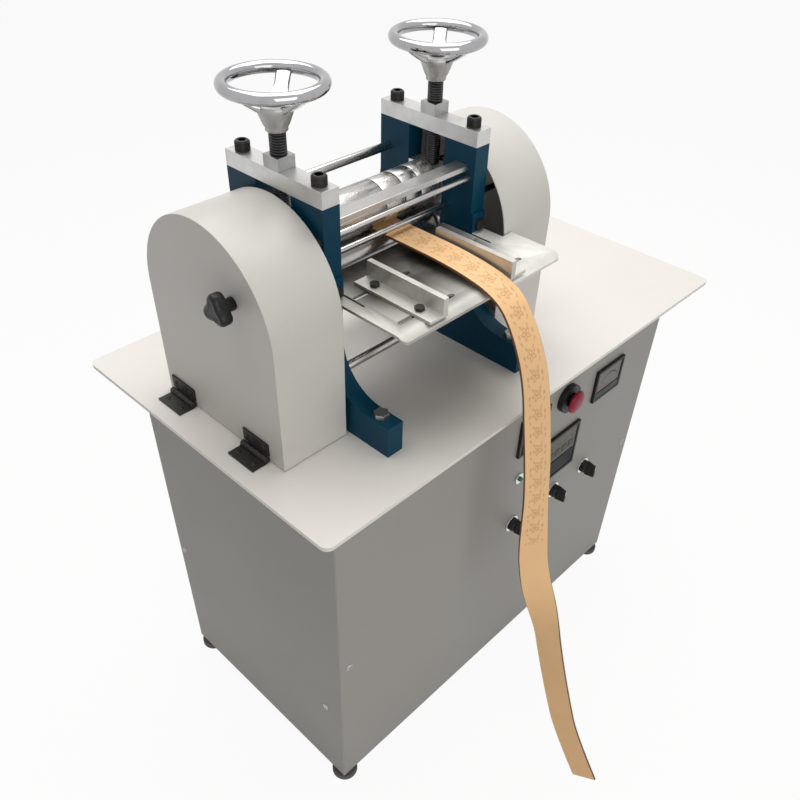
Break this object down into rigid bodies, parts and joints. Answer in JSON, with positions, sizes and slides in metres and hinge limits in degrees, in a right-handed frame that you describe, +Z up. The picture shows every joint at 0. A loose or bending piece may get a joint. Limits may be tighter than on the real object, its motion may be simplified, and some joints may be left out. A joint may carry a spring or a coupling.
{
  "type": "leather belt embossing machine",
  "caption": "Floor-standing belt embossing machine: motor-driven die rollers between side frames, lift handwheels, strap guides and hinged covers on a cabinet with a control panel.",
  "frame": {"origin": "on the floor under the middle of the table top", "axes": "+X to the right along the rollers, +Y to the back, +Z up; the strap feeds in from the front at -Y"},
  "size_m": [0.88, 0.7684, 1.097],
  "materials": {
    "cabinet_paint": "fine textured powder coat",
    "table_paint": "smooth powder coat",
    "cover_paint": "fine textured powder coat",
    "frame_enamel": "gloss enamel",
    "bright_steel": "ground",
    "die_steel": "engraved",
    "gear_steel": "oiled",
    "black_steel": "black oxide",
    "chrome": "polished",
    "plate_aluminium": "brushed",
    "motor_paint": "gloss",
    "contact_brass": "turned",
    "black_plastic": "moulded",
    "bezel_metal": "satin",
    "red_plastic": "moulded",
    "green_plastic": "moulded",
    "foot_rubber": "moulded",
    "belt_rubber": "wrapped belt",
    "strap_leather": "vegetable tanned"
  },
  "bodies": {
    "machine": {"left_panel": "cabinet_paint", "right_panel": "cabinet_paint", "front_panel": "cabinet_paint", "rear_panel": "cabinet_paint", "corner_posts": "cabinet_paint", "frame_rails": "cabinet_paint", "floor_pan": "cabinet_paint", "motor_stand": "cabinet_paint", "table_top": "table_paint", "left_frame": "frame_enamel", "right_frame": "frame_enamel", "top_plates": "bright_steel", "screw_nuts": "bright_steel", "lower_bearing_blocks": "bright_steel", "tie_rods": "bright_steel", "guard_bar": "bright_steel", "panel_screws": "bright_steel", "hex_fasteners": "bright_steel", "return_springs": "bright_steel", "cap_screws": "black_steel", "cover_hinge_bases": "black_steel", "guide_plate": "plate_aluminium", "gear_motor": "motor_paint", "panel_meter": "black_plastic", "panel_controllers": "black_plastic", "cable_gland": "black_plastic", "control_bezels": "bezel_metal", "levelling_feet": "foot_rubber", "drive_belt": "belt_rubber", "leather_strap": "strap_leather"},
    "carriage": {"upper_bearing_blocks": "bright_steel", "brush_holder": "black_plastic"},
    "left_wheel": {"left_lift_screw": "black_steel", "left_handwheel": "chrome"},
    "right_wheel": {"right_lift_screw": "black_steel", "right_handwheel": "chrome"},
    "lower_train": {"lower_roller": "bright_steel", "lower_gear": "gear_steel", "drive_pulley": "gear_steel"},
    "upper_train": {"upper_shaft": "bright_steel", "plain_rings": "bright_steel", "die_rings": "die_steel", "upper_gear": "gear_steel", "slip_rings": "contact_brass"},
    "motor_train": {"motor_pulley": "gear_steel"},
    "left_door": {"left_cover": "cover_paint", "left_cover_leaves": "black_steel"},
    "right_door": {"right_cover": "cover_paint", "right_cover_leaves": "black_steel"},
    "left_door_knob": {"left_cover_knob": "black_plastic"},
    "right_door_knob": {"right_cover_knob": "black_plastic"},
    "left_fence": {"left_guide": "plate_aluminium", "left_guide_screws": "black_steel"},
    "right_fence": {"right_guide": "plate_aluminium", "right_guide_screws": "black_steel"},
    "stop": {"stop_button": "red_plastic"},
    "start": {"start_button": "green_plastic"},
    "left_switch": {"left_selector": "black_plastic"},
    "middle_switch": {"middle_selector": "black_plastic"},
    "right_switch": {"right_selector": "black_plastic"}
  },
  "joints": [
    {"name": "roller_lift", "type": "slide", "parent": "machine", "child": "carriage", "axis": [0, 0, 1], "range_m": [0, 0.012], "deforming": ["return_springs"]},
    {"name": "left_wheel_turn", "type": "hinge", "parent": "carriage", "child": "left_wheel", "pos_m": [-0.265, 0, 1.09], "axis": [0, 0, 1], "range_deg": [0, 1440]},
    {"name": "right_wheel_turn", "type": "hinge", "parent": "carriage", "child": "right_wheel", "pos_m": [-0.003, 0, 1.09], "axis": [0, 0, 1], "range_deg": [0, 1440]},
    {"name": "lower_roller_spin", "type": "hinge", "parent": "machine", "child": "lower_train", "pos_m": [-0.134, 0, 0.847], "axis": [1, 0, 0], "continuous": true},
    {"name": "upper_roller_spin", "type": "hinge", "parent": "carriage", "child": "upper_train", "pos_m": [-0.134, 0, 0.911], "axis": [1, 0, 0], "continuous": true},
    {"name": "motor_pulley_spin", "type": "hinge", "parent": "machine", "child": "motor_train", "pos_m": [-0.134, 0, 0.427], "axis": [1, 0, 0], "continuous": true},
    {"name": "left_cover_swing", "type": "hinge", "parent": "machine", "child": "left_door", "pos_m": [-0.394, 0, 0.689], "axis": [0, -1, 0], "range_deg": [0, 90]},
    {"name": "right_cover_swing", "type": "hinge", "parent": "machine", "child": "right_door", "pos_m": [0.126, 0, 0.689], "axis": [0, 1, 0], "range_deg": [0, 80]},
    {"name": "left_cover_knob_turn", "type": "hinge", "parent": "left_door", "child": "left_door_knob", "pos_m": [-0.389, -0.057, 0.897], "axis": [1, 0, 0], "continuous": true},
    {"name": "right_cover_knob_turn", "type": "hinge", "parent": "right_door", "child": "right_door_knob", "pos_m": [0.121, -0.057, 0.897], "axis": [1, 0, 0], "continuous": true},
    {"name": "left_guide_set", "type": "slide", "parent": "machine", "child": "left_fence", "axis": [1, 0, 0], "range_m": [-0.024, 0.05]},
    {"name": "right_guide_set", "type": "slide", "parent": "machine", "child": "right_fence", "axis": [1, 0, 0], "range_m": [-0.002, 0.025]},
    {"name": "stop_button_press", "type": "slide", "parent": "machine", "child": "stop", "axis": [0, 1, 0], "range_m": [0, 0.006]},
    {"name": "start_button_press", "type": "slide", "parent": "machine", "child": "start", "axis": [0, 1, 0], "range_m": [0, 0.003], "stiffness_N_per_m": 1200, "springref_m": -0.002},
    {"name": "left_selector_turn", "type": "hinge", "parent": "machine", "child": "left_switch", "pos_m": [0.011, -0.226, 0.364], "axis": [0, 1, 0], "range_deg": [-45, 45]},
    {"name": "middle_selector_turn", "type": "hinge", "parent": "machine", "child": "middle_switch", "pos_m": [0.13, -0.226, 0.364], "axis": [0, 1, 0], "range_deg": [-45, 45]},
    {"name": "right_selector_turn", "type": "hinge", "parent": "machine", "child": "right_switch", "pos_m": [0.223, -0.226, 0.364], "axis": [0, 1, 0], "range_deg": [-45, 45]}
  ],
  "couplings": [
    {"joint": "left_wheel_turn", "follows": "roller_lift", "rad_per_m": 2094.4},
    {"joint": "right_wheel_turn", "follows": "roller_lift", "rad_per_m": 2094.4},
    {"joint": "upper_roller_spin", "follows": "lower_roller_spin", "ratio": -1},
    {"joint": "motor_pulley_spin", "follows": "lower_roller_spin", "ratio": 1}
  ]
}
